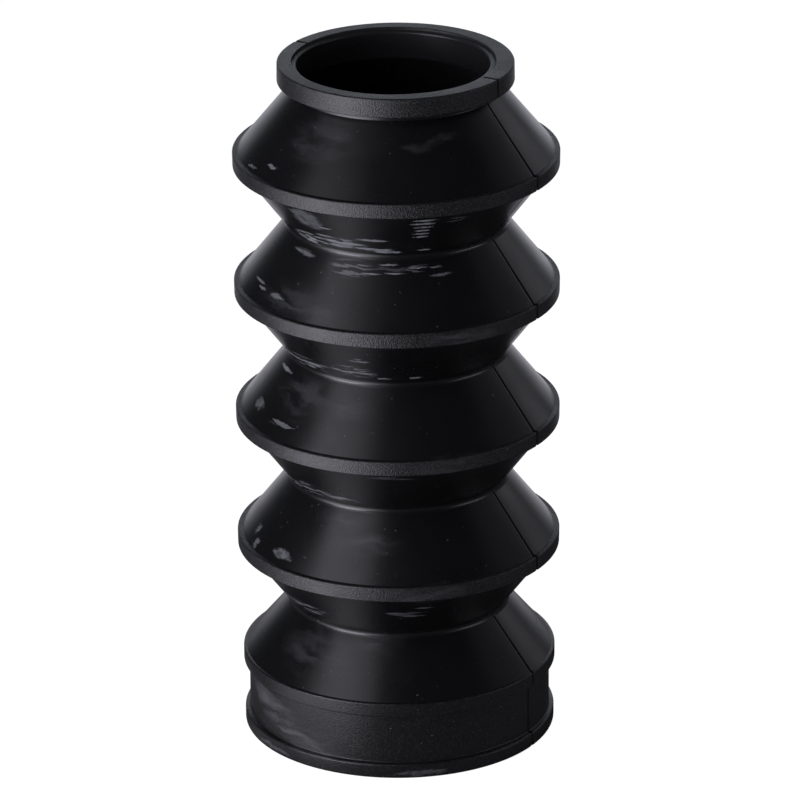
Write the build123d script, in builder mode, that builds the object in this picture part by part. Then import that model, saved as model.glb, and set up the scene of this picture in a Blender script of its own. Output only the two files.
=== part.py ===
from build123d import *
import os

# A bellows boot for a telescopic fork, moulded in one piece of black rubber.
#
# Every section through the Z axis is the same: a rim that grips the fork tube, four free rings
# joined by folded cones, a fifth ring, and a plain collar with a flange at its foot. The wall
# follows the folds inside and out: full thickness behind the rings, thinner at the waists,
# where it has to bend.
# Origin: centre of the base. +Z points from the collar to the rim. Sizes in millimetres.

# ---- Driving dimensions -------------------------------------------------------------------

boot_height = 141.0

# Rim at the top, stretched over a fork tube of 39 mm
rim_radius = 23.5
rim_height = 3.9
rim_bore_radius = 19.1
rim_bore_length = 5.6         # from the lip down to where the folds open out
lip_width = 1.2               # narrow lip between the flat top of the rim and the bore
lip_step = 0.5                # how far the lip lies below the flat top
neck_radius = 20.9            # short neck under the rim
neck_height = 135.7           # where the top cone turns into the neck

# Four free rings, counted from the top
ring_count = 4
ring_pitch = 26.9
top_ring_height = 122.6       # upper edge of the highest ring
ring_radius = 32.5
ring_band = 3.0               # height of the ring's straight outer face
ring_ledge = 1.2              # flat step from that face to the cone, above and below

# Waists: the narrow places between the cones
waist_radius = 21.9
waist_drop = 14.7             # from a ring's upper edge down to the waist below

# Inside of the folds
ridge_radius = 29.8           # behind each ring
ridge_drop = 1.4              # from a ring's upper edge down to the ridge behind it
inner_waist_radius = 19.9     # just clears the fork tube

# Collar, pushed over the lower fork leg
collar_ring_height = 16.4     # upper edge of the fifth ring
collar_ring_radius = 31.6
collar_ring_band = 2.9
collar_ring_ledge = 0.6
collar_radius = 30.45
collar_bore_radius = 27.5
collar_bore_length = 17.4
flange_radius = 31.4
flange_height = 3.1

# ---- Heights worked out from them ---------------------------------------------------------

ring_heights = [top_ring_height - ring_pitch * place for place in range(ring_count)]
rim_underside = boot_height - rim_height
lip_height = boot_height - lip_step
collar_ring_underside = collar_ring_height - collar_ring_band

# ---- Outline of the section, as (radius, height) ------------------------------------------


def outside_of_ring(top):
    """The waist below a free ring, then its ledges and its face, from the bottom up."""
    return [
        (waist_radius, top - waist_drop),
        (ring_radius - ring_ledge, top - ring_band),
        (ring_radius, top - ring_band),
        (ring_radius, top),
        (ring_radius - ring_ledge, top),
    ]


def inside_of_ring(top):
    """The ridge behind a free ring and the waist below it, from the top down."""
    return [(ridge_radius, top - ridge_drop), (inner_waist_radius, top - waist_drop)]


collar_outside = [
    (collar_bore_radius, 0),
    (flange_radius, 0),
    (flange_radius, flange_height),
    (collar_radius, flange_height),
    (collar_radius, collar_ring_underside),
    (collar_ring_radius, collar_ring_underside),
    (collar_ring_radius, collar_ring_height),
    (collar_ring_radius - collar_ring_ledge, collar_ring_height),
]
folds_outside = [point for top in reversed(ring_heights) for point in outside_of_ring(top)]
rim = [
    (neck_radius, neck_height),
    (neck_radius, rim_underside),
    (rim_radius, rim_underside),
    (rim_radius, boot_height),
    (rim_bore_radius + lip_width, boot_height),
    (rim_bore_radius + lip_width, lip_height),
    (rim_bore_radius, lip_height),
    (rim_bore_radius, lip_height - rim_bore_length),
]
folds_inside = [point for top in ring_heights for point in inside_of_ring(top)]
collar_inside = [(collar_bore_radius, collar_bore_length)]

# ---- The boot: its section turned about the axis ------------------------------------------

with BuildPart() as bellows_boot:
    with BuildSketch(Plane.XZ) as section:
        with BuildLine() as outline:
            Polyline(
                *collar_outside, *folds_outside, *rim, *folds_inside, *collar_inside, close=True
            )
        make_face()
    revolve(axis=Axis.Z)

bellows_boot.part.label = "bellows_boot"

os.makedirs("parts", exist_ok=True)
export_step(bellows_boot.part, "parts/bellows_boot.step")
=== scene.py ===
# %% [markdown]
# # A bellows boot of moulded rubber
#
# The boot is one piece of black rubber that keeps dust off the sliding part of a fork. It is a
# folded tube, open at both ends: four sharp-edged rings stand out from narrow waists, a rim at
# the top grips the fork tube, and below a fifth ring a plain collar ends in a flange.
#
# The whole object is one surface of revolution, so the lesson is about three things: drawing a
# good section, giving its corners the small roundings a mould gives, and making black rubber
# look like rubber instead of like black paint.

import bpy
import numpy as np
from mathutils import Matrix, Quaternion, Vector


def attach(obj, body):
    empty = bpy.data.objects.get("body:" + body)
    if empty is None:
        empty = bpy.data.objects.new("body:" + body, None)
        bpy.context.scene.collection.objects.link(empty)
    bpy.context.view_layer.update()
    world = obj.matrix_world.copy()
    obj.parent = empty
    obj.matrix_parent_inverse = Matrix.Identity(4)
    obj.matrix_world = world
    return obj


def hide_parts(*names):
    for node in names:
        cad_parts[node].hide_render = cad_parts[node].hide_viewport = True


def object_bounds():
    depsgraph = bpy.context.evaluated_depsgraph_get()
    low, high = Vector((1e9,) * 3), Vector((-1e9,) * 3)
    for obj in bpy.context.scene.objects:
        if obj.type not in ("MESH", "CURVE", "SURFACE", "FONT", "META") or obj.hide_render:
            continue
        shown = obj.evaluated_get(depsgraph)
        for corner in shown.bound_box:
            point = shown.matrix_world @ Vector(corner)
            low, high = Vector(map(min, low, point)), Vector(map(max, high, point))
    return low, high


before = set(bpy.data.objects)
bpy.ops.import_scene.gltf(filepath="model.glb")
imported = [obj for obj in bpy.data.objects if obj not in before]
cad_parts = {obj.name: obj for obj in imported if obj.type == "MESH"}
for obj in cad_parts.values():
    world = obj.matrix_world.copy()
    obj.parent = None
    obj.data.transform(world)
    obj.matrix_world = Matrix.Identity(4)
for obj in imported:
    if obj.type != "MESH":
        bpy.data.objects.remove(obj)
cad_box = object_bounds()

MM = 0.001
bpy.context.scene.view_settings.view_transform = "Standard"
print("frame holds", list(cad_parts), "inside", cad_box)


# %% [markdown]
# ## The camera
#
# A long lens a good way off keeps the rings almost the same size from the top of the boot to
# its foot. The camera looks down at the boot by about 21 degrees, from an azimuth that puts
# one of the two mould lines in view on the right. A small shift of the lens frames the boot
# without turning the camera, and a small roll gives the boot a slight lean.

# %% Camera
IMAGE_WIDTH = 800  # pixels, also the height
FOCAL_LENGTH = 6706.6  # pixels
SENSOR = 36.0  # mm
CAMERA_REACH = 10  # m, the farthest that it sees
AZIMUTH, ELEVATION, ROLL = np.radians([31.5, 21.44, -0.37])
DISTANCE = 1.341  # m
AIM_HEIGHT = 0.0794  # m, the point of the boot's axis that the camera is turned to
AIM_PIXEL = (397.45, 351.75)  # where that point lies in the picture, from its top left


def way_to(azimuth, elevation=0.0):
    """The unit vector to an azimuth a, which runs from -Y towards +X, and an elevation e:
    (sin a cos e, -cos a cos e, sin e)."""
    flat = np.array([np.sin(azimuth), -np.cos(azimuth)]) * np.cos(elevation)
    return Vector((*flat, np.sin(elevation)))


towards_camera = way_to(AZIMUTH, ELEVATION)
camera = bpy.data.objects.new("camera", bpy.data.cameras.new("camera"))
camera.data.sensor_width = SENSOR
camera.data.lens = FOCAL_LENGTH / IMAGE_WIDTH * SENSOR
camera.data.shift_x = (IMAGE_WIDTH / 2 - AIM_PIXEL[0]) / IMAGE_WIDTH
camera.data.shift_y = (AIM_PIXEL[1] - IMAGE_WIDTH / 2) / IMAGE_WIDTH
camera.data.clip_end = CAMERA_REACH
camera.location = Vector((0, 0, AIM_HEIGHT)) + DISTANCE * towards_camera
camera.rotation_mode = "QUATERNION"
camera.rotation_quaternion = towards_camera.to_track_quat("Z", "Y") @ Quaternion((0, 0, 1), ROLL)
bpy.context.scene.collection.objects.link(camera)
bpy.context.scene.camera = camera
print("camera", round(camera.data.lens, 1), "mm lens at", list(camera.location))


# %% [markdown]
# ## Colours and nodes
#
# Colours are written as the hex values that a picture editor shows, which are sRGB. Blender
# works with linear light, so one function turns them. A second small function adds a node with
# its settings and its inputs, and a node can stand where a value is asked for. So each line of
# a material is one step, and the material reads from top to bottom.

# %% Two helpers


def linear(hex_colour):
    """sRGB hex to linear: c / 12.92 near black, ((c + 0.055) / 1.055) ** 2.4 above."""
    srgb = np.array([int(hex_colour[place : place + 2], 16) for place in (1, 3, 5)]) / 255
    light = np.where(srgb <= 0.04045, srgb / 12.92, ((srgb + 0.055) / 1.055) ** 2.4)
    return (*light.tolist(), 1.0)


def add(tree, kind, inputs=(), **settings):
    """Adds a node and its settings, then its inputs, in order as a list or by name or number as
    a dict. A socket is linked, a node is linked by its first output in use, the rest is set."""
    node = tree.nodes.new(kind)
    for name, value in settings.items():
        setattr(node, name, value)
    for name, value in inputs.items() if isinstance(inputs, dict) else enumerate(inputs):
        if isinstance(value, bpy.types.Node):
            value = next(output for output in value.outputs if output.enabled)
        if isinstance(value, bpy.types.NodeSocket):
            tree.links.new(value, node.inputs[name])
        else:
            node.inputs[name].default_value = value
    return node


SMOOTHLY = dict(interpolation_type="SMOOTHSTEP")  # a Map Range node that eases in and out
print("white is", linear("#ffffff"), "and middle grey about", linear("#808080"))


# %% [markdown]
# ## The floor
#
# The boot stands on a wide sheet of white paper. What the camera sees of it is mostly a white
# of its own, so the background stays white without more light on the boot, and a small diffuse
# part keeps the boot's soft shadow.

# %% Floor
FLOOR_REACH = 3.0  # m, from the middle to each edge

edge = FLOOR_REACH * np.array([(-1, -1, 0), (1, -1, 0), (1, 1, 0), (-1, 1, 0)])
floor_mesh = bpy.data.meshes.new("floor")
floor_mesh.from_pydata(edge.tolist(), [], [(0, 1, 2, 3)])
floor = bpy.data.objects.new("floor", floor_mesh)
bpy.context.scene.collection.objects.link(floor)
print("floor", 2 * FLOOR_REACH, "m square")


# %% [markdown]
# ## White paper
#
# The paper is plain card stock, bleached white and matt all over, so it shows no gloss of its
# own. The sheen of the rubber sees it too, but as a studio shows it: white behind the boot, and
# dark in front, which is what makes black rubber look black. On the left a brighter glow is
# painted into the paper for the sheen alone: painted light that stands for the low softbox
# shining on the paper there. Each of the two is a fan: the cosine between a place and a
# direction, turned into a strength.

# %% Where the rubber sees white paper, and the painted glow on the left
WHITE_FAN = (0.78, 1.0)  # cosine from straight behind, from dark to white
WHITE_START = (0.08, 0.14)  # m behind the boot's axis, from dark to white
LEFT_SIDE = 50  # degrees left of the camera, where the low softbox stands
LEFT_FAN = (0.80, 1.0)  # cosine from there, from dark to bright
LEFT_START = (0.015, 0.165)  # m from the boot's axis, from dark to bright
# Painted light: the paper on the left glows this much for reflections only.
PAINTED_LEFT_GLOW = 4.4  # times as bright as the white behind

behind = -way_to(AZIMUTH)
left = way_to(AZIMUTH - np.radians(LEFT_SIDE))
paper = bpy.data.materials.new("white_paper")
paper.use_nodes = True
tree = paper.node_tree
tree.nodes.clear()
place = add(tree, "ShaderNodeTexCoord").outputs["Object"]
outward = add(tree, "ShaderNodeVectorMath", [place], operation="NORMALIZE")
metres = add(tree, "ShaderNodeVectorMath", [place], operation="LENGTH")
metres_back = add(tree, "ShaderNodeVectorMath", [place, behind], operation="DOT_PRODUCT")
backwards = add(tree, "ShaderNodeVectorMath", [outward, behind], operation="DOT_PRODUCT")
leftwards = add(tree, "ShaderNodeVectorMath", [outward, left], operation="DOT_PRODUCT")
started = add(tree, "ShaderNodeMapRange", [metres_back, *WHITE_START, 0, 1], **SMOOTHLY)
in_fan = add(tree, "ShaderNodeMapRange", [backwards, *WHITE_FAN, 0, 1], **SMOOTHLY)
white_behind = add(tree, "ShaderNodeMath", [started, in_fan], operation="MULTIPLY")
# Painted light: a pool of glow on the left paper, seen only in the sheen, for the low softbox's
# light.
in_painted_glow = add(tree, "ShaderNodeMapRange", [leftwards, *LEFT_FAN, 0, PAINTED_LEFT_GLOW], **SMOOTHLY)
started = add(tree, "ShaderNodeMapRange", [metres, *LEFT_START, 0, 1], **SMOOTHLY)
painted_glow_left = add(tree, "ShaderNodeMath", [in_painted_glow, started], operation="MULTIPLY")
in_sheen = add(tree, "ShaderNodeMath", [white_behind, painted_glow_left], operation="ADD")
print("white behind", tuple(behind), "and lit at", tuple(left))

# %% Paper
PAPER = "#e8e8e8"
PAPER_IN_VIEW = "#a8a8a8"  # darker, because the glow comes on top
PAPER_GLOW = 0.97
WHITE = "#ffffff"
STUDIO_LIGHT = "#f4f3fe"  # the lamps are a little cooler than the paper

ray = add(tree, "ShaderNodeLightPath").outputs
sheen = add(tree, "ShaderNodeMath", [ray["Is Glossy Ray"], in_sheen], operation="MULTIPLY")
straight = add(
    tree, "ShaderNodeMath", [ray["Is Camera Ray"], ray["Is Transmission Ray"]], operation="ADD"
)
white = add(tree, "ShaderNodeMath", [straight, sheen], operation="ADD")
strength = add(tree, "ShaderNodeMath", [white, PAPER_GLOW], operation="MULTIPLY")
tints = {0: straight, 6: linear(STUDIO_LIGHT), 7: linear(WHITE)}  # 6 and 7 are the two colours
tint = add(tree, "ShaderNodeMix", tints, data_type="RGBA")
glow = add(tree, "ShaderNodeEmission", {"Color": tint, "Strength": strength})
in_view = add(tree, "ShaderNodeBsdfDiffuse", {"Color": linear(PAPER_IN_VIEW)})
shown = add(tree, "ShaderNodeAddShader", [in_view, glow])
bare = add(tree, "ShaderNodeBsdfDiffuse", {"Color": linear(PAPER)})
seen = add(
    tree, "ShaderNodeMath", [straight, ray["Is Glossy Ray"]], operation="ADD", use_clamp=True
)
surface = add(tree, "ShaderNodeMixShader", [seen, bare, shown])
add(tree, "ShaderNodeOutputMaterial", {"Surface": surface})
floor_mesh.materials.append(paper)
print("paper has", len(tree.nodes), "nodes")


# %% [markdown]
# ## The studio
#
# Black rubber shows little colour of its own: what the eye sees is the room in its skin. So
# the room matters more than the lamps. Behind the boot it is as white as the background, and in
# front it is a dark studio. Two softboxes on the left draw the soft bright band down the left
# of every cone. On the right a large dim card lifts the shaded side a little, a low strip gives
# the cones a second, fainter band, and a lamp partly behind the boot lightens their outline.

# %% World
BACKDROP, DARK_STUDIO = 1.05, 0.04  # brightness of the room behind the boot and in front
ROOM = "#eef3ff"

world = bpy.data.worlds.new("studio")
bpy.context.scene.world = world
world.use_nodes = True
tree = world.node_tree
tree.nodes.clear()
direction = add(tree, "ShaderNodeTexCoord").outputs["Generated"]
backwards = add(tree, "ShaderNodeVectorMath", [direction, behind], operation="DOT_PRODUCT")
brightness = [backwards, *WHITE_FAN, DARK_STUDIO, BACKDROP]
strength = add(tree, "ShaderNodeMapRange", brightness, **SMOOTHLY)
room = add(tree, "ShaderNodeBackground", [linear(ROOM), strength])
backdrop = add(tree, "ShaderNodeBackground", [linear(WHITE), 1.0])
ray = add(tree, "ShaderNodeLightPath").outputs
straight = add(
    tree,
    "ShaderNodeMath",
    [ray["Is Camera Ray"], ray["Is Transmission Ray"]],
    operation="ADD",
    use_clamp=True,
)
sky = add(tree, "ShaderNodeMixShader", [straight, room, backdrop])
add(tree, "ShaderNodeOutputWorld", {"Surface": sky})
print("room from", DARK_STUDIO, "in front to", BACKDROP, "behind")

# %% Lamps
LAMP_AIM = Vector((0, 0, 0.07))  # m, the middle of the boot


def softbox(name, to_the_left, up, distance, size, radiance):
    """A lamp some degrees left of the camera and up, some metres off and facing the boot. Its
    radiance is 1 where it looks as bright as lit white paper: power = radiance x pi x area."""
    way = way_to(AZIMUTH - np.radians(to_the_left), np.radians(up))
    lamp = bpy.data.objects.new(name, bpy.data.lights.new(name, "AREA"))
    lamp.data.shape = "RECTANGLE"
    lamp.data.size, lamp.data.size_y = size
    lamp.data.energy = radiance * np.pi * size[0] * size[1]
    lamp.data.color = linear(STUDIO_LIGHT)[:3]
    lamp.location = LAMP_AIM + distance * way
    lamp.rotation_mode = "QUATERNION"
    lamp.rotation_quaternion = way.to_track_quat("Z", "Y")
    bpy.context.scene.collection.objects.link(lamp)
    print(name, "of", round(lamp.data.energy, 1), "W")


softbox("low_softbox", to_the_left=LEFT_SIDE, up=3, distance=1.2, size=(0.62, 0.35), radiance=12.0)
softbox("high_softbox", to_the_left=49, up=33, distance=0.45, size=(0.33, 0.26), radiance=1.9)
softbox("right_card", to_the_left=-105, up=20, distance=1.2, size=(0.9, 0.9), radiance=0.12)
softbox("right_strip", to_the_left=-76, up=5, distance=1.2, size=(0.7, 0.24), radiance=2.0)
softbox("right_edge", to_the_left=-130, up=25, distance=1.2, size=(0.4, 0.8), radiance=0.5)


# %% [markdown]
# ## The section
#
# The section is a closed outline of radii and heights that goes up the outside and comes down
# the inside. Each corner carries its own rounding: a few tenths on the edges of a ring, which
# are cut sharply into the steel, and a real fillet at the folds, where rubber has to bend
# without cracking. The folds inside are rounder than outside, because the wall is thinnest
# there and moves most. The faces of the rings and the rim lean by half a tenth, as they would
# to leave the mould easily.

# %% Sizes, in millimetres
BOOT_HEIGHT = round(cad_box[1][2] / MM, 2)
RING_RADIUS = round(cad_box[1][0] / MM, 2)
TOP_RING, RING_PITCH, RING_COUNT = 122.6, 26.9, 4
RING_TOPS = TOP_RING - RING_PITCH * np.arange(RING_COUNT)[::-1]  # from the lowest ring up
RING_BAND = 3.0  # height of a ring's straight face
UPPER_LEDGE, LOWER_LEDGE = 1.0, 1.8  # flat steps from that face to the cones
LEAN = 0.05  # how far a straight face leans

WAIST_RADIUS, WAIST_DROP = 22.0, 14.7  # narrowest place, and how far it is below a ring's top
WAIST_FLARE = 0.45  # a waist is a short face, wider at its foot
WAIST_BELOW, WAIST_ABOVE = 0.6, 0.2  # how far that face reaches down and up
RIDGE_RADIUS, RIDGE_DROP = 29.8, 1.4  # inside, behind each ring
INNER_WAIST_RADIUS = 19.2  # inside, before it is rounded

RIM_RADIUS, RIM_FOOT = 23.5, 137.1
NECK_RADIUS, NECK_FOOT = 20.9, 135.7  # where the highest cone turns into the neck
LIP_RADIUS, LIP_TOP = 20.35, BOOT_HEIGHT - 0.5  # the sunk lip round the bore
LIP_GROOVE_WIDTH, LIP_GROOVE_DEPTH = 0.25, 0.1  # at the foot of the step down to the lip
BORE_RADIUS, BORE_FOOT = 19.1, 134.9  # where the bore opens out into the folds

FIFTH_RADIUS, FIFTH_TOP, FIFTH_FOOT = 31.6, 16.4, 13.5  # the fifth ring, above the collar
FIFTH_LEDGE = 0.6
COLLAR_RADIUS = 30.45
FLANGE_RADIUS, FLANGE_TOP = 31.4, 3.1
SOCKET_RADIUS, SOCKET_DEPTH = 27.5, 17.4
print("boot", BOOT_HEIGHT, "high with rings of radius", RING_RADIUS, "at", RING_TOPS)

# %% Corners: radius, height, rounding, and the finish of the face that follows
GRAINED, FINE, SMOOTH = 1.0, 0.5, 0.0

foot = [
    (SOCKET_RADIUS, 0, 0.5, FINE),
    (FLANGE_RADIUS, 0, 0.5, FINE),
    (FLANGE_RADIUS, FLANGE_TOP, 0.5, FINE),
    (COLLAR_RADIUS, FLANGE_TOP, 0.3, FINE),
    (COLLAR_RADIUS, FIFTH_FOOT, 0.4, FINE),
    (FIFTH_RADIUS, FIFTH_FOOT, 0.3, FINE),
    (FIFTH_RADIUS, FIFTH_TOP, 0.35, FINE),
    (FIFTH_RADIUS - FIFTH_LEDGE, FIFTH_TOP, 0.15, SMOOTH),
]
# A ring's heights are measured from its top, from the waist below it upwards.
ring = [
    (WAIST_RADIUS + WAIST_FLARE, -WAIST_DROP - WAIST_BELOW, 0.9, SMOOTH),
    (WAIST_RADIUS, -WAIST_DROP + WAIST_ABOVE, 1.1, SMOOTH),
    (RING_RADIUS - LOWER_LEDGE, -RING_BAND, 0.3, SMOOTH),
    (RING_RADIUS - LEAN, -RING_BAND, 0.2, GRAINED),
    (RING_RADIUS, 0, 0.3, GRAINED),
    (RING_RADIUS - UPPER_LEDGE, 0, 0.2, SMOOTH),
]
head = [
    (NECK_RADIUS, NECK_FOOT, 0.3, SMOOTH),
    (NECK_RADIUS, RIM_FOOT, 0.3, GRAINED),
    (RIM_RADIUS, RIM_FOOT, 0.3, GRAINED),
    (RIM_RADIUS - LEAN, BOOT_HEIGHT, 0.35, GRAINED),
    (LIP_RADIUS, BOOT_HEIGHT, 0.25, GRAINED),
    (LIP_RADIUS - LEAN, LIP_TOP - LIP_GROOVE_DEPTH, 0.06, GRAINED),
    (LIP_RADIUS - LIP_GROOVE_WIDTH, LIP_TOP, 0.1, GRAINED),
    (BORE_RADIUS, LIP_TOP, 0.5, SMOOTH),
    (BORE_RADIUS, BORE_FOOT, 0.8, SMOOTH),
]
# Inside, from the ridge behind a ring downwards, again from the ring's top.
fold_inside = [
    (RIDGE_RADIUS, -RIDGE_DROP, 0.8, SMOOTH),
    (INNER_WAIST_RADIUS, -WAIST_DROP, 2.5, SMOOTH),
]
socket = [(SOCKET_RADIUS, SOCKET_DEPTH, 1.0, SMOOTH)]


def at_heights(shape, tops):
    """A copy of the corners at every ring: the ring's height is added to each height."""
    lift = np.zeros((len(tops), 1, 4))
    lift[:, 0, 1] = tops
    return (np.array(shape)[None] + lift).reshape(-1, 4)


rings = at_heights(ring, RING_TOPS)
folds_inside = at_heights(fold_inside, RING_TOPS[::-1])
corners = np.concatenate([foot, rings, head, folds_inside, socket])
print("corners of the section", len(corners))


# %% [markdown]
# ## Rounding the corners
#
# Every corner is replaced by an arc that touches both of its edges. With half the angle between
# the edges called h and the radius r, the arc starts r / tan(h) from the corner and its centre
# lies r / sin(h) along the line that halves the angle. All corners are done at once as arrays.
# Then rows are added along the straight runs, so that the skin can wave a little between them.

# %% Outline
ARC_POINTS = 6  # at each corner
ROW_SPACING = 2.8  # mm along the straight runs


def rounded(corners, steps):
    """The outline with an arc of so many points at each corner. Along an arc the points turn
    evenly from its first to its last, and the finish changes evenly from face to face."""
    place, radius, finish = corners[:, :2], corners[:, 2:3], corners[:, 3:]
    back = np.roll(place, 1, axis=0) - place
    ahead = np.roll(place, -1, axis=0) - place
    back /= np.linalg.norm(back, axis=1, keepdims=True)
    ahead /= np.linalg.norm(ahead, axis=1, keepdims=True)
    half = np.arccos(np.sum(back * ahead, axis=1, keepdims=True)) / 2
    middle = (back + ahead) / np.linalg.norm(back + ahead, axis=1, keepdims=True)
    centre = place + middle * radius / np.sin(half)
    first = place + back * radius / np.tan(half) - centre
    last = place + ahead * radius / np.tan(half) - centre
    sweep = (np.pi - 2 * half)[:, None]
    part = np.linspace(0, 1, steps)[None, :, None]
    arc = np.sin((1 - part) * sweep) * first[:, None] + np.sin(part * sweep) * last[:, None]
    arc /= np.sin(sweep)
    change = (1 - part) * np.roll(finish, 1, axis=0)[:, None] + part * finish[:, None]
    return np.concatenate([centre[:, None] + arc, change], axis=2).reshape(-1, 3)


def with_rows(outline, spacing):
    """Adds points at an even spacing along a closed outline, and keeps its own points. A new
    point stays away from the old ones by a third of the spacing."""
    closed = np.concatenate([outline, outline[:1]])
    steps = np.linalg.norm(np.diff(closed[:, :2], axis=0), axis=1)
    run = np.concatenate([[0], np.cumsum(steps)])
    regular = np.arange(0, run[-1], spacing)
    clear = np.abs(regular[:, None] - run[None]).min(axis=1) > spacing / 3
    run_all = np.sort(np.concatenate([run[:-1], regular[clear]]))
    return np.stack([np.interp(run_all, run, column) for column in closed.T], axis=1)


section = with_rows(rounded(corners, ARC_POINTS), ROW_SPACING)
print("points of the section", len(section))


# %% [markdown]
# ## Turning the section
#
# The boot is the section turned about the upright axis: x = r cos(t), y = r sin(t), z = height.
# The mould opened in two halves, and where they met there is a fine groove down both sides of
# the boot, at 0 and 180 degrees. The turns are 1.5 degrees apart, with six more close to each
# mould line, so that the groove is a real one and not only a stripe; the rubber adds painted
# shade in it.

# %% Grid
TURN_STEP = 1.5  # degrees
MOULD_LINE_WIDTH = 0.6  # mm
CLOSE_TURNS = np.array([-0.9, -0.5, -0.2, 0.2, 0.5, 0.9])  # in widths of the mould line

lip_row = np.flatnonzero(section[:, 1] > BOOT_HEIGHT - 0.01)[-1]  # the last row at full height
outside = (np.arange(len(section)) <= lip_row).astype(float)[:, None]
close = np.degrees(MOULD_LINE_WIDTH / RING_RADIUS) * CLOSE_TURNS
turns = np.sort(np.concatenate([np.arange(0, 360, TURN_STEP), close % 360, 180 + close]))
angle = np.radians(turns)[None, :]
radius, height, grain = section[:, :1], section[:, 1:2], section[:, 2:]
rows, columns = len(section), len(turns)
print("grid", rows, "x", columns, "=", 2 * rows * columns, "triangles")


# %% [markdown]
# ## What moulding does to it
#
# A rubber part is never quite round. The core of this mould sat half a millimetre to one side,
# so the rim is wider on one side of the hole than on the other. Above the flange the skin waves
# by up to half a tenth of a millimetre, and only inwards, so the boot keeps its full size.

# %% Real shape
CORE_SHIFT = 0.5  # mm
CORE_SIDE = np.radians(211.5)  # the turn that the core leans to
CORE_LEVELS = (126, 136)  # mm, from where the bore is true to where it is fully shifted
WAVE = 0.05  # mm
WAVE_LEVELS = (3.1, 8.0)  # mm, from the flange, which is flat, to where it waves fully
# Waves round the boot, their drift in radians per millimetre, their start and their share.
WAVES = [(2, 0.050, 0.0, 1.0), (3, -0.11, 1.0, 0.6), (5, 0.23, 2.0, 0.4)]


def smooth_step(low, high, value):
    """0 below low, 1 above high, and 3 u^2 - 2 u^3 in between."""
    part = np.clip((value - low) / (high - low), 0, 1)
    return part * part * (3 - 2 * part)


def wave(turn, level):
    """0 to 1: the sum of share x cos(count x turn + drift x level + start) for every wave, as
    a part of the most that it can be, halved and raised by a half."""
    total = sum(
        share * np.cos(count * turn + drift * level + start)
        for count, drift, start, share in WAVES
    )
    return 0.5 + total / 2 / sum(share for *_, share in WAVES)


waved_radius = radius - WAVE * wave(angle, height) * smooth_step(*WAVE_LEVELS, height)
core = CORE_SHIFT * (1 - outside) * smooth_step(*CORE_LEVELS, height)
east = waved_radius * np.cos(angle) + core * np.cos(CORE_SIDE)
north = waved_radius * np.sin(angle) + core * np.sin(CORE_SIDE)
points = np.stack([east, north, height + 0 * angle], axis=2)
print("radius from", round(waved_radius.min(), 2), "to", round(waved_radius.max(), 2), "mm")

# %% Mould line
MOULD_LINE_DEPTH = 0.28  # mm
ON_CONE, ON_RING = 0.65, 1.8  # how wide the groove is, in half widths


def skin_normals(points):
    """Area-weighted normals of a grid that closes both ways: each point sums its four faces."""
    next_row = np.roll(points, -1, axis=0)
    next_both = np.roll(next_row, -1, axis=1)
    next_column = np.roll(points, -1, axis=1)
    faces = np.cross(next_column - next_row, next_both - points)
    pair = faces + np.roll(faces, 1, axis=0)
    total = pair + np.roll(pair, 1, axis=1)
    return total / np.linalg.norm(total, axis=2, keepdims=True)


away = np.minimum(np.abs(turns - 180), np.minimum(turns, 360 - turns))
half_width = np.degrees(MOULD_LINE_WIDTH / 2 / RING_RADIUS)
groove_width = half_width * (ON_CONE + (ON_RING - ON_CONE) * grain)
groove = np.clip(1 - away[None, :] / groove_width, 0, 1) * outside
points = points - MOULD_LINE_DEPTH * groove[:, :, None] * skin_normals(points)
normals = skin_normals(points)
print("the foot faces down:", bool((normals[0, :, 2] < 0).all()))

# %% Mesh
row, column = np.meshgrid(np.arange(rows), np.arange(columns), indexing="ij")
after, beside = (row + 1) % rows, (column + 1) % columns
around = [(row, column), (row, beside), (after, beside), (after, column)]
quads = np.stack([its_row * columns + its_column for its_row, its_column in around], axis=-1)

boot_mesh = bpy.data.meshes.new("bellows_boot_skin")
boot_mesh.from_pydata((points.reshape(-1, 3) * MM).tolist(), [], quads.reshape(-1, 4).tolist())
boot_mesh.shade_smooth()
boot_mesh.normals_split_custom_set_from_vertices(normals.reshape(-1, 3).tolist())
boot = bpy.data.objects.new("bellows_boot_skin", boot_mesh)
bpy.context.scene.collection.objects.link(boot)
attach(boot, "root")
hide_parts("bellows_boot")
print("skin", len(boot_mesh.polygons), "faces")

# %% What the material reads
SEAM_HEIGHT = 1.0  # mm of the map for the last faces, which close the section


def store(mesh, name, values):
    """Keeps one number per point of the grid in the mesh, for the material to read."""
    kept = mesh.attributes.new(name, "FLOAT", "POINT")
    kept.data.foreach_set("value", np.broadcast_to(values, (rows, columns)).ravel().astype("f"))
    print("attribute", name, "from", values.min(), "to", values.max())


store(boot_mesh, "grained", grain)
store(boot_mesh, "outside", outside)
store(boot_mesh, "mould_line", groove)

run = np.concatenate([[0], np.cumsum(np.linalg.norm(np.diff(section[:, :2], axis=0), axis=1))])
run = np.append(run / (run[-1] + SEAM_HEIGHT), 1.0)
corner_turn = np.append(turns, 360)[np.stack([column, column + 1, column + 1, column], -1)]
corner_run = run[np.stack([row, row, row + 1, row + 1], -1)]
unrolled = np.stack([corner_turn / 360, corner_run], axis=-1)
uv_map = boot_mesh.uv_layers.new(name="unrolled")
uv_map.data.foreach_set("uv", unrolled.ravel().astype("f"))
print("map", uv_map.name, "of", len(uv_map.data), "corners")


# %% [markdown]
# ## Moulded rubber
#
# The boot is natural or neoprene rubber, filled with carbon black and pressed in a steel mould.
# Carbon black takes nearly all light, so the colour is close to nothing and the shape is drawn
# by the sheen. The cones come from turned steel and are smooth and satin. The ring faces and
# the rim come from steel that was blasted, and are finely grained and duller. The collar and
# the flange are in between. On top lies what handling leaves: pale scuffs, bloom and dust.
#
# The marks follow the skin round, so the first nodes unroll it: the turn in degrees is one
# direction of a flat map and the level in millimetres is the other.

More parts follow.
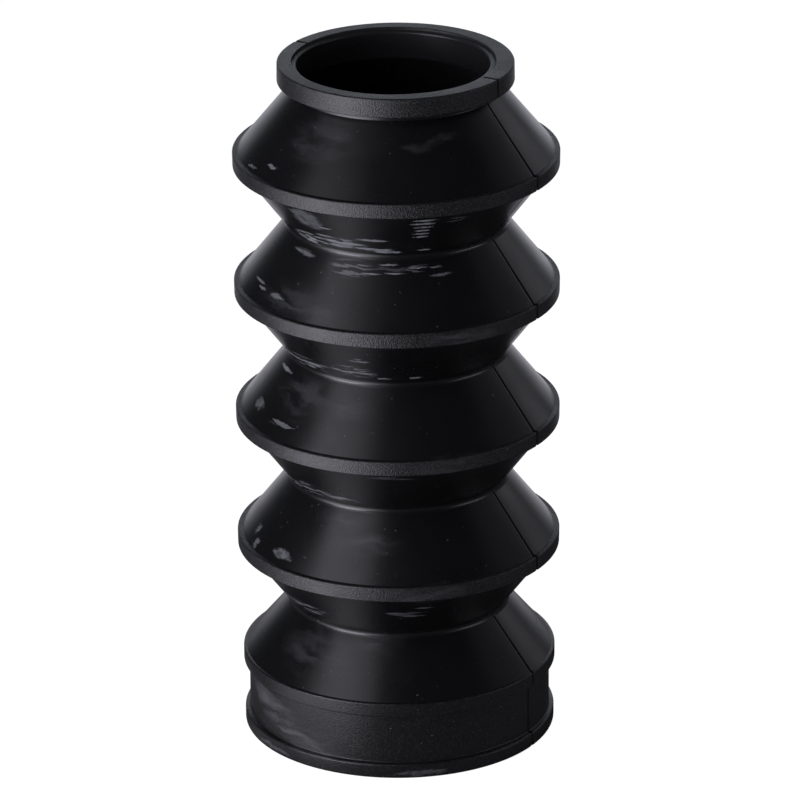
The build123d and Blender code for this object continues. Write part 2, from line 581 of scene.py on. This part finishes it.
# %% Places on the skin
rubber = bpy.data.materials.new("moulded_rubber")
rubber.use_nodes = True
tree = rubber.node_tree
tree.nodes.clear()
place = add(tree, "ShaderNodeTexCoord").outputs["Object"]
axes = add(tree, "ShaderNodeSeparateXYZ", [place]).outputs
turn = add(tree, "ShaderNodeMath", [axes["Y"], axes["X"]], operation="ARCTAN2")
degrees = add(tree, "ShaderNodeMath", [turn], operation="DEGREES")
level = add(tree, "ShaderNodeMath", [axes["Z"], 1 / MM], operation="MULTIPLY")
unroll = add(tree, "ShaderNodeCombineXYZ", [degrees, level])
grain_here = add(tree, "ShaderNodeAttribute", attribute_name="grained").outputs["Fac"]
outside_here = add(tree, "ShaderNodeAttribute", attribute_name="outside").outputs["Fac"]
line_here = add(tree, "ShaderNodeAttribute", attribute_name="mould_line").outputs["Fac"]
print("places in", len(tree.nodes), "nodes")


# %% [markdown]
# ## Scuffs, bloom and dust
#
# The marks run round the boot, because that is how a hand or a shelf rubs it. Each one is an
# oval on the unrolled skin. Marks of one size stand together: first half the length in degrees
# and half the height in millimetres, then for each its turn, its level and how strongly it
# shows. Scuffs are torn into fibres, strokes are thin and whole, patches are ragged, and clouds
# are the faint bloom that a wiping hand smears.

# %% Scuffs
SCUFF_EDGE = 0.3  # share of its size over which a mark fades
SCUFFS = {
    (4, 0.5): [(-111, 98.2, 0.5), (-75, 87.6, 0.6), (-35, 117.4, 0.35)],
    (8, 0.5): [
        (-69, 109.8, 0.9),
        (-111, 106.3, 0.5),
        (-62, 105.9, 0.2),
        (-46, 105.9, 0.6),
        (-109, 71.3, 0.5),
        (-60, 64.1, 0.2),
        (-87, 56.1, 0.7),
        (-55, 33.9, 0.3),
    ],
    (10, 1.4): [(-104, 110.0, 1.0), (-84, 110.6, 1.0), (-81, 105.6, 0.5), (-80, 84.1, 0.7)],
    (18, 1.5): [(-112, 83.4, 0.7), (-113, 56.6, 0.7), (-114, 31.0, 0.6)],
}
print(sum(map(len, SCUFFS.values())), "scuffs")

# %% Strokes
STROKE_EDGE = 0.35
STROKES = {
    (1.5, 0.8): [(-132, 44.6, 0.5), (-127, 42.9, 0.5)],
    (3, 0.2): [
        (-45, 109.6, 0.9),
        (-111, 98.2, 0.6),
        (-90, 114.2, 0.9),
        (-48, 35.6, 0.5),
        (-65, 82.7, 0.8),
        (-50, 82.9, 0.8),
        (-87, 56.5, 0.8),
        (-123, 98.2, 0.6),
    ],
    (4.5, 0.14): [
        (-63, 106.6, 0.8),
        (-60, 105.2, 0.8),
        (-71, 105.0, 0.8),
        (-49, 106.0, 0.7),
        (-66, 64.1, 0.25),
        (-60, 34.2, 0.5),
        (-52, 33.2, 0.45),
        (-75, 87.4, 0.7),
    ],
    (4.5, 0.22): [
        (-48, 118.0, 0.9),
        (-48, 117.1, 0.9),
        (-93, 111.9, 0.9),
        (-105, 111.2, 0.8),
        (-38, 104.6, 0.55),
        (-108, 56.4, 0.9),
        (-111, 71.5, 0.6),
        (-127, 98.9, 0.6),
    ],
    (6.5, 0.28): [
        (-70, 112.4, 0.9),
        (-84, 110.6, 1.0),
        (-73, 109.9, 1.0),
        (-63, 109.2, 1.0),
        (-111, 106.3, 0.5),
        (-129, 79.1, 0.8),
    ],
}
# Four short rungs carry on the ladder that the two longer strokes at turn -48 begin.
STROKES[3, 0.2] += [(-48, 116.1 - 0.9 * rung, 0.9) for rung in range(4)]
# The half that faces away has faint ones, spread over it by the golden angle.
STROKES[4.5, 0.22] += [(35 + 137.5 * n % 145, 20 + 47.1 * n % 105, 0.4) for n in range(14)]
print(sum(map(len, STROKES.values())), "strokes")

# %% Patches and clouds
PATCH_EDGE = 0.3
PATCHES = {
    (3, 0.3): [(-114, 125.0, 0.7), (-126, 123.4, 0.6)],
    (4.5, 0.8): [(-83, 110.4, 0.7), (-110, 43.6, 0.6), (-131, 72.0, 0.5)],
    (6.5, 2.4): [(-98, 115.8, 0.42)],
    (9, 0.5): [(-51, 1.2, 0.3), (-113, 1.2, 0.3)],
}
CLOUD_EDGE = 0.8
CLOUDS = {
    (5, 0.6): [(-47, 131.1, 0.10), (-40, 131.9, 0.12), (-33, 132.6, 0.10)],
    (9, 1.4): [
        (-82, 76.6, 0.12),
        (-36, 93.5, 0.3),
        (-88, 67.4, 0.14),
        (-40, 67.0, 0.16),
        (-84, 52.0, 0.08),
        (-72, 48.5, 0.14),
        (-45, 39.5, 0.16),
        (-70, 26.0, 0.1),
    ],
    (8, 2.4): [
        (-134, 12.5, 0.3),
        (-124, 10.8, 0.3),
        (-114, 8.6, 0.3),
        (-104, 6.4, 0.28),
        (-95, 4.6, 0.2),
    ],
    (13, 2.9): [(-96, 131.3, 0.09), (-102, 97.5, 0.12), (-106, 76.5, 0.11), (-101, 22.5, 0.12)],
}
print(sum(map(len, PATCHES.values())), "patches and", sum(map(len, CLOUDS.values())), "clouds")


# %% [markdown]
# ## Drawing the marks
#
# An oval is a distance from its middle, measured where its size is 1. The strongest mark wins
# at each place, so marks that overlap don't add up. Marks of one size share one shrunk copy of
# the map, because a material with a hundred such copies is too big for the renderer.
#
# Nothing rubbed off a shelf has a clean edge, so noise moves the places about before the
# ovals are drawn on them: fine noise frays the strokes, coarser noise makes patches ragged, and
# slow, strong noise smears the clouds.

# %% Ovals


def ovals(tree, vector, sizes, edge):
    """The strongest of many ovals at each place of the unrolled skin. Each is its strength
    within 1 - edge of its middle, in its own size, and fades to nothing at 1 + edge."""
    strongest = 0.0
    for (half_length, half_height), marks in sizes.items():
        shrink = (1 / half_length, 1 / half_height, 0)
        shrunk = add(tree, "ShaderNodeVectorMath", [vector, shrink], operation="MULTIPLY")
        for turn, level, strength in marks:
            middle = (turn / half_length, level / half_height, 0)
            apart = add(tree, "ShaderNodeVectorMath", [shrunk, middle], operation="DISTANCE")
            fade = [apart, 1 - edge, 1 + edge, strength, 0]
            mark = add(tree, "ShaderNodeMapRange", fade, **SMOOTHLY)
            strongest = add(tree, "ShaderNodeMath", [mark, strongest], operation="MAXIMUM")
    return strongest


# %% Edges
EDGE_STRETCH = 0.2  # the noise is five degrees long for each millimetre that it is high
EDGE_ROUGHNESS = 0.62  # much fine noise in the coarse


def warped(tree, vector, feature, turn, level):
    """The unrolled place, moved about by noise with features of so many millimetres: by up to
    half of turn in degrees and half of level in millimetres, each way."""
    squeezed = add(tree, "ShaderNodeMapping", {"Vector": vector, "Scale": (EDGE_STRETCH, 1, 1)})
    field = {"Vector": squeezed, "Scale": 1 / feature, "Detail": 6.0, "Roughness": EDGE_ROUGHNESS}
    wobble = add(tree, "ShaderNodeTexNoise", field).outputs["Color"]
    centred = add(tree, "ShaderNodeVectorMath", [wobble, (0.5, 0.5, 0.5)], operation="SUBTRACT")
    shift = add(tree, "ShaderNodeVectorMath", [centred, (turn, level, 0)], operation="MULTIPLY")
    return add(tree, "ShaderNodeVectorMath", [vector, shift], operation="ADD")


ragged = warped(tree, unroll, feature=1.1, turn=12.0, level=2.6)
frayed = warped(tree, unroll, feature=0.6, turn=7.0, level=0.5)
smeared = warped(tree, unroll, feature=3.0, turn=22.0, level=5.0)
print("ragged, frayed and smeared places:", len(tree.nodes), "nodes so far")

# %% Fibres, mottle and smears
# Each pattern is noise: two values of it, and the strength of a mark at the one and the other.
FIBRES = (0.49, 0.55, 0, 1)
STROKE_MOTTLE = (0.3, 0.5, 0.5, 1)
PATCH_MOTTLE = (0.3, 0.6, 0.4, 1)
SMEAR = (0.35, 0.65, 0.1, 1.3)
FIBRE_WIDTH, MOTTLE_SIZE, SMEAR_WIDTH = 0.55, 1.6, 1.8  # mm
FIBRE_STRETCH, SMEAR_STRETCH = 0.045, 0.08  # the smaller, the longer along the turn
SMEAR_TILT = 0.25  # radians

along = add(tree, "ShaderNodeMapping", {"Vector": frayed, "Scale": (FIBRE_STRETCH, 1, 1)})
field = {"Vector": along, "Scale": 1 / FIBRE_WIDTH, "Detail": 1.5}
fibre_noise = add(tree, "ShaderNodeTexNoise", field)
field = {"Vector": place, "Scale": 1 / (MOTTLE_SIZE * MM), "Detail": 6.0}
mottle_noise = add(tree, "ShaderNodeTexNoise", field)
tilted = {"Vector": smeared, "Rotation": (0, 0, SMEAR_TILT), "Scale": (SMEAR_STRETCH, 1, 1)}
wiped = add(tree, "ShaderNodeMapping", tilted)
field = {"Vector": wiped, "Scale": 1 / SMEAR_WIDTH, "Detail": 5.0}
smear_noise = add(tree, "ShaderNodeTexNoise", field)
kinds = [
    (ovals(tree, frayed, SCUFFS, SCUFF_EDGE), fibre_noise, FIBRES),
    (ovals(tree, frayed, STROKES, STROKE_EDGE), mottle_noise, STROKE_MOTTLE),
    (ovals(tree, ragged, PATCHES, PATCH_EDGE), mottle_noise, PATCH_MOTTLE),
    (ovals(tree, smeared, CLOUDS, CLOUD_EDGE), smear_noise, SMEAR),
]
torn = []
for shape, noise, levels in kinds:
    pattern = add(tree, "ShaderNodeMapRange", [noise, *levels], **SMOOTHLY)
    torn.append(add(tree, "ShaderNodeMath", [shape, pattern], operation="MULTIPLY"))
sharp = add(tree, "ShaderNodeMath", torn[:2], operation="MAXIMUM")
soft = add(tree, "ShaderNodeMath", torn[2:], operation="MAXIMUM")
rubbed = add(tree, "ShaderNodeMath", [sharp, soft], operation="MAXIMUM")
print("all marks:", len(tree.nodes), "nodes so far")

# %% Dust and powder
DUST_SPACING = 0.7  # mm between specks, far more than each is wide
DUST = (0.765, 0.80, 0, 0.4)  # again two values of noise, and the strength at each
POWDER_SIZE = 0.32  # mm, the pale powder that stays in the grain of the faces
POWDER = (0.48, 0.68, 0, 0.13)

field = {"Vector": place, "Scale": 1 / (DUST_SPACING * MM), "Detail": 1.0}
dust = add(tree, "ShaderNodeTexNoise", field)
dust = add(tree, "ShaderNodeMapRange", [dust, *DUST], **SMOOTHLY)
field = {"Vector": place, "Scale": 1 / (POWDER_SIZE * MM), "Detail": 2.0}
powder = add(tree, "ShaderNodeTexNoise", field)
powder = add(tree, "ShaderNodeMapRange", [powder, *POWDER], **SMOOTHLY)
powder = add(tree, "ShaderNodeMath", [powder, grain_here], operation="MULTIPLY")
specks = add(tree, "ShaderNodeMath", [dust, powder], operation="MAXIMUM")
marks = add(tree, "ShaderNodeMath", [rubbed, specks], operation="MAXIMUM")
marks = add(tree, "ShaderNodeMath", [marks, outside_here], operation="MULTIPLY", use_clamp=True)
print("with dust and powder:", len(tree.nodes), "nodes so far")


# %% [markdown]
# ## The rubber itself
# The colour is near black everywhere: a hair lighter where the steel was blasted, and greyer
# inside, where the powder that frees it from the mould stays. The finish sets the roughness and
# the bump: satin on the cones, dull and grained on the faces. The marks are chalky, so they are
# rougher too. In the mould line the mirroring is turned down almost to nothing as painted
# shade, which stands for the light that such a narrow groove traps.

# %% Rubber colour
RUBBER_SMOOTH = "#101011"
RUBBER_GRAINED = "#131314"
RUBBER_INSIDE = "#29292b"
CHALK = "#8b8c90"

finishes = {0: grain_here, 6: linear(RUBBER_SMOOTH), 7: linear(RUBBER_GRAINED)}
outer = add(tree, "ShaderNodeMix", finishes, data_type="RGBA")
sides = {0: outside_here, 6: linear(RUBBER_INSIDE), 7: outer}
unmarked = add(tree, "ShaderNodeMix", sides, data_type="RGBA")
colour = add(tree, "ShaderNodeMix", {0: marks, 6: unmarked, 7: linear(CHALK)}, data_type="RGBA")
print("colour of the cones", linear(RUBBER_SMOOTH))

# %% Rubber surface
IOR_RUBBER = 1.5
SATIN, DULL = 0.28, 0.40  # roughness of the smooth and the grained faces
CHALKY = 0.35  # what a full mark adds to it
UNEVEN_SIZE = 9  # mm
UNEVEN = (0.3, 0.7, -0.03, 0.05)  # slow noise, turned into a change of roughness
GRAIN_SIZE = 0.28  # mm, the blasted steel's grain, drawn about twice as coarse so that it shows
GRAIN_DEPTH = 0.12  # mm
SMOOTH_BUMP, GRAINED_BUMP = 0.03, 1.0
OPEN_SPECULAR, SHADED_LINE_SPECULAR = 0.5, 0.05  # on the open skin and in the mould line

field = {"Vector": place, "Scale": 1 / (UNEVEN_SIZE * MM), "Detail": 3.0}
uneven = add(tree, "ShaderNodeTexNoise", field)
uneven = add(tree, "ShaderNodeMapRange", [uneven, *UNEVEN])
roughness = add(tree, "ShaderNodeMapRange", [grain_here, 0, 1, SATIN, DULL])
roughness = add(tree, "ShaderNodeMath", [roughness, uneven], operation="ADD")
chalky = add(tree, "ShaderNodeMath", [marks, CHALKY], operation="MULTIPLY")
roughness = add(tree, "ShaderNodeMath", [roughness, chalky], operation="ADD", use_clamp=True)
field = {"Vector": place, "Scale": 1 / (GRAIN_SIZE * MM), "Detail": 2.0}
grit = add(tree, "ShaderNodeTexNoise", field)
depth = add(tree, "ShaderNodeMapRange", [grain_here, 0, 1, SMOOTH_BUMP, GRAINED_BUMP])
bumps = {"Height": grit, "Strength": depth, "Distance": GRAIN_DEPTH * MM}
bump = add(tree, "ShaderNodeBump", bumps)
# Painted shade: in the mould line the specular drops almost to nothing, for the light the groove
# traps.
specular = add(tree, "ShaderNodeMapRange", [line_here, 0, 1, OPEN_SPECULAR, SHADED_LINE_SPECULAR])
skin = add(
    tree,
    "ShaderNodeBsdfPrincipled",
    {
        "Base Color": colour,
        "Roughness": roughness,
        "IOR": IOR_RUBBER,
        "Specular IOR Level": specular,
        "Normal": bump,
    },
)
add(tree, "ShaderNodeOutputMaterial", {"Surface": skin})
boot_mesh.materials.append(rubber)
print("rubber has", len(tree.nodes), "nodes")

# %% Sizes and finish
print("skin measures", np.ptp(points.reshape(-1, 3), axis=0).round(2), "mm")
